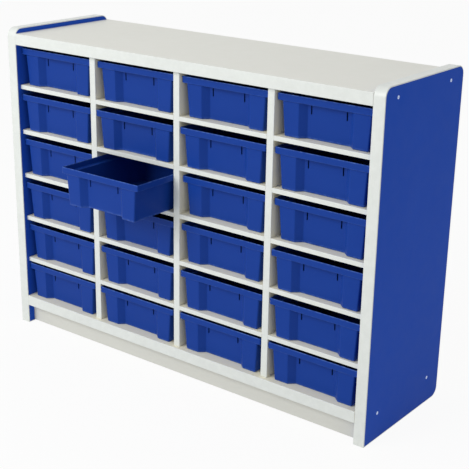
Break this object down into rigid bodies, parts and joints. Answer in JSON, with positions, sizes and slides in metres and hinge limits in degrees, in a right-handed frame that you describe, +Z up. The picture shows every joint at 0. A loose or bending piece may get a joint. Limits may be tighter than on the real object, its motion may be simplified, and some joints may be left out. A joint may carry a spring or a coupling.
{
  "type": "compartment storage unit",
  "caption": "Low laminated storage case on two side panels, with columns of compartments that each hold a loose plastic tray with a recessed front.",
  "frame": {"origin": "on the floor, in the middle of the space the unit takes up at rest, with its drawn-out tray", "axes": "+X along the front to the right as seen from the front, +Y from the front to the back, +Z up"},
  "size_m": [1.1, 0.4454, 0.803],
  "materials": {
    "blue_laminate": "satin laminate on board",
    "white_laminate": "satin laminate on board",
    "white_edging": "satin",
    "tray_plastic": "moulded, slightly glossy",
    "screw_steel": "plated"
  },
  "bodies": {
    "case": {"left_side": "blue_laminate", "left_side_edging": "white_edging", "right_side": "blue_laminate", "right_side_edging": "white_edging", "top_board": "white_laminate", "deck_board": "white_laminate", "back_panel": "white_laminate", "front_kick_board": "white_laminate", "rear_kick_board": "white_laminate", "upright_1": "white_laminate", "upright_2": "white_laminate", "upright_3": "white_laminate", "shelf_c1_r1": "white_laminate", "shelf_c1_r2": "white_laminate", "shelf_c1_r3": "white_laminate", "shelf_c1_r4": "white_laminate", "shelf_c1_r5": "white_laminate", "shelf_c2_r1": "white_laminate", "shelf_c2_r2": "white_laminate", "shelf_c2_r3": "white_laminate", "shelf_c2_r4": "white_laminate", "shelf_c2_r5": "white_laminate", "shelf_c3_r1": "white_laminate", "shelf_c3_r2": "white_laminate", "shelf_c3_r3": "white_laminate", "shelf_c3_r4": "white_laminate", "shelf_c3_r5": "white_laminate", "shelf_c4_r1": "white_laminate", "shelf_c4_r2": "white_laminate", "shelf_c4_r3": "white_laminate", "shelf_c4_r4": "white_laminate", "shelf_c4_r5": "white_laminate", "right_screw_top_front": "screw_steel", "right_screw_top_rear": "screw_steel", "right_screw_deck_front": "screw_steel", "right_screw_deck_rear": "screw_steel"},
    "tray_c1_r1": {"tray_c1_r1": "tray_plastic"},
    "tray_c1_r2": {"tray_c1_r2": "tray_plastic"},
    "tray_c1_r3": {"tray_c1_r3": "tray_plastic"},
    "tray_c1_r4": {"tray_c1_r4": "tray_plastic"},
    "tray_c1_r5": {"tray_c1_r5": "tray_plastic"},
    "tray_c1_r6": {"tray_c1_r6": "tray_plastic"},
    "tray_c2_r1": {"tray_c2_r1": "tray_plastic"},
    "tray_c2_r2": {"tray_c2_r2": "tray_plastic"},
    "tray_c2_r3": {"tray_c2_r3": "tray_plastic"},
    "tray_c2_r4": {"tray_c2_r4": "tray_plastic"},
    "tray_c2_r5": {"tray_c2_r5": "tray_plastic"},
    "tray_c2_r6": {"tray_c2_r6": "tray_plastic"},
    "tray_c3_r1": {"tray_c3_r1": "tray_plastic"},
    "tray_c3_r2": {"tray_c3_r2": "tray_plastic"},
    "tray_c3_r3": {"tray_c3_r3": "tray_plastic"},
    "tray_c3_r4": {"tray_c3_r4": "tray_plastic"},
    "tray_c3_r5": {"tray_c3_r5": "tray_plastic"},
    "tray_c3_r6": {"tray_c3_r6": "tray_plastic"},
    "tray_c4_r1": {"tray_c4_r1": "tray_plastic"},
    "tray_c4_r2": {"tray_c4_r2": "tray_plastic"},
    "tray_c4_r3": {"tray_c4_r3": "tray_plastic"},
    "tray_c4_r4": {"tray_c4_r4": "tray_plastic"},
    "tray_c4_r5": {"tray_c4_r5": "tray_plastic"},
    "tray_c4_r6": {"tray_c4_r6": "tray_plastic"}
  },
  "joints": [
    {"name": "tray_c1_r1_slide", "type": "slide", "parent": "case", "child": "tray_c1_r1", "axis": [0, -1, 0], "range_m": [-0.001, 0.339]},
    {"name": "tray_c1_r2_slide", "type": "slide", "parent": "case", "child": "tray_c1_r2", "axis": [0, -1, 0], "range_m": [-0.007, 0.333]},
    {"name": "tray_c1_r3_slide", "type": "slide", "parent": "case", "child": "tray_c1_r3", "axis": [0, -1, 0], "range_m": [-0.005, 0.335]},
    {"name": "tray_c1_r4_slide", "type": "slide", "parent": "case", "child": "tray_c1_r4", "axis": [0, -1, 0], "range_m": [-0.0075, 0.3325]},
    {"name": "tray_c1_r5_slide", "type": "slide", "parent": "case", "child": "tray_c1_r5", "axis": [0, -1, 0], "range_m": [-0.003, 0.337]},
    {"name": "tray_c1_r6_slide", "type": "slide", "parent": "case", "child": "tray_c1_r6", "axis": [0, -1, 0], "range_m": [-0.008, 0.332]},
    {"name": "tray_c2_r1_slide", "type": "slide", "parent": "case", "child": "tray_c2_r1", "axis": [0, -1, 0], "range_m": [-0.0015, 0.3385]},
    {"name": "tray_c2_r2_slide", "type": "slide", "parent": "case", "child": "tray_c2_r2", "axis": [0, -1, 0], "range_m": [-0.0095, 0.3305]},
    {"name": "tray_c2_r3_slide", "type": "slide", "parent": "case", "child": "tray_c2_r3", "axis": [0, -1, 0], "range_m": [-0.13, 0.21]},
    {"name": "tray_c2_r4_slide", "type": "slide", "parent": "case", "child": "tray_c2_r4", "axis": [0, -1, 0], "range_m": [-0.0065, 0.3335]},
    {"name": "tray_c2_r5_slide", "type": "slide", "parent": "case", "child": "tray_c2_r5", "axis": [0, -1, 0], "range_m": [-0.0045, 0.3355]},
    {"name": "tray_c2_r6_slide", "type": "slide", "parent": "case", "child": "tray_c2_r6", "axis": [0, -1, 0], "range_m": [-0.01, 0.33]},
    {"name": "tray_c3_r1_slide", "type": "slide", "parent": "case", "child": "tray_c3_r1", "axis": [0, -1, 0], "range_m": [-0.001, 0.339]},
    {"name": "tray_c3_r2_slide", "type": "slide", "parent": "case", "child": "tray_c3_r2", "axis": [0, -1, 0], "range_m": [-0.008, 0.332]},
    {"name": "tray_c3_r3_slide", "type": "slide", "parent": "case", "child": "tray_c3_r3", "axis": [0, -1, 0], "range_m": [0, 0.341]},
    {"name": "tray_c3_r4_slide", "type": "slide", "parent": "case", "child": "tray_c3_r4", "axis": [0, -1, 0], "range_m": [-0.0035, 0.3365]},
    {"name": "tray_c3_r5_slide", "type": "slide", "parent": "case", "child": "tray_c3_r5", "axis": [0, -1, 0], "range_m": [-0.0065, 0.3335]},
    {"name": "tray_c3_r6_slide", "type": "slide", "parent": "case", "child": "tray_c3_r6", "axis": [0, -1, 0], "range_m": [-0.009, 0.331]},
    {"name": "tray_c4_r1_slide", "type": "slide", "parent": "case", "child": "tray_c4_r1", "axis": [0, -1, 0], "range_m": [-0.001, 0.339]},
    {"name": "tray_c4_r2_slide", "type": "slide", "parent": "case", "child": "tray_c4_r2", "axis": [0, -1, 0], "range_m": [-0.005, 0.335]},
    {"name": "tray_c4_r3_slide", "type": "slide", "parent": "case", "child": "tray_c4_r3", "axis": [0, -1, 0], "range_m": [-0.0015, 0.3385]},
    {"name": "tray_c4_r4_slide", "type": "slide", "parent": "case", "child": "tray_c4_r4", "axis": [0, -1, 0], "range_m": [-0.0075, 0.3325]},
    {"name": "tray_c4_r5_slide", "type": "slide", "parent": "case", "child": "tray_c4_r5", "axis": [0, -1, 0], "range_m": [-0.008, 0.332]},
    {"name": "tray_c4_r6_slide", "type": "slide", "parent": "case", "child": "tray_c4_r6", "axis": [0, -1, 0], "range_m": [-0.009, 0.331]}
  ]
}
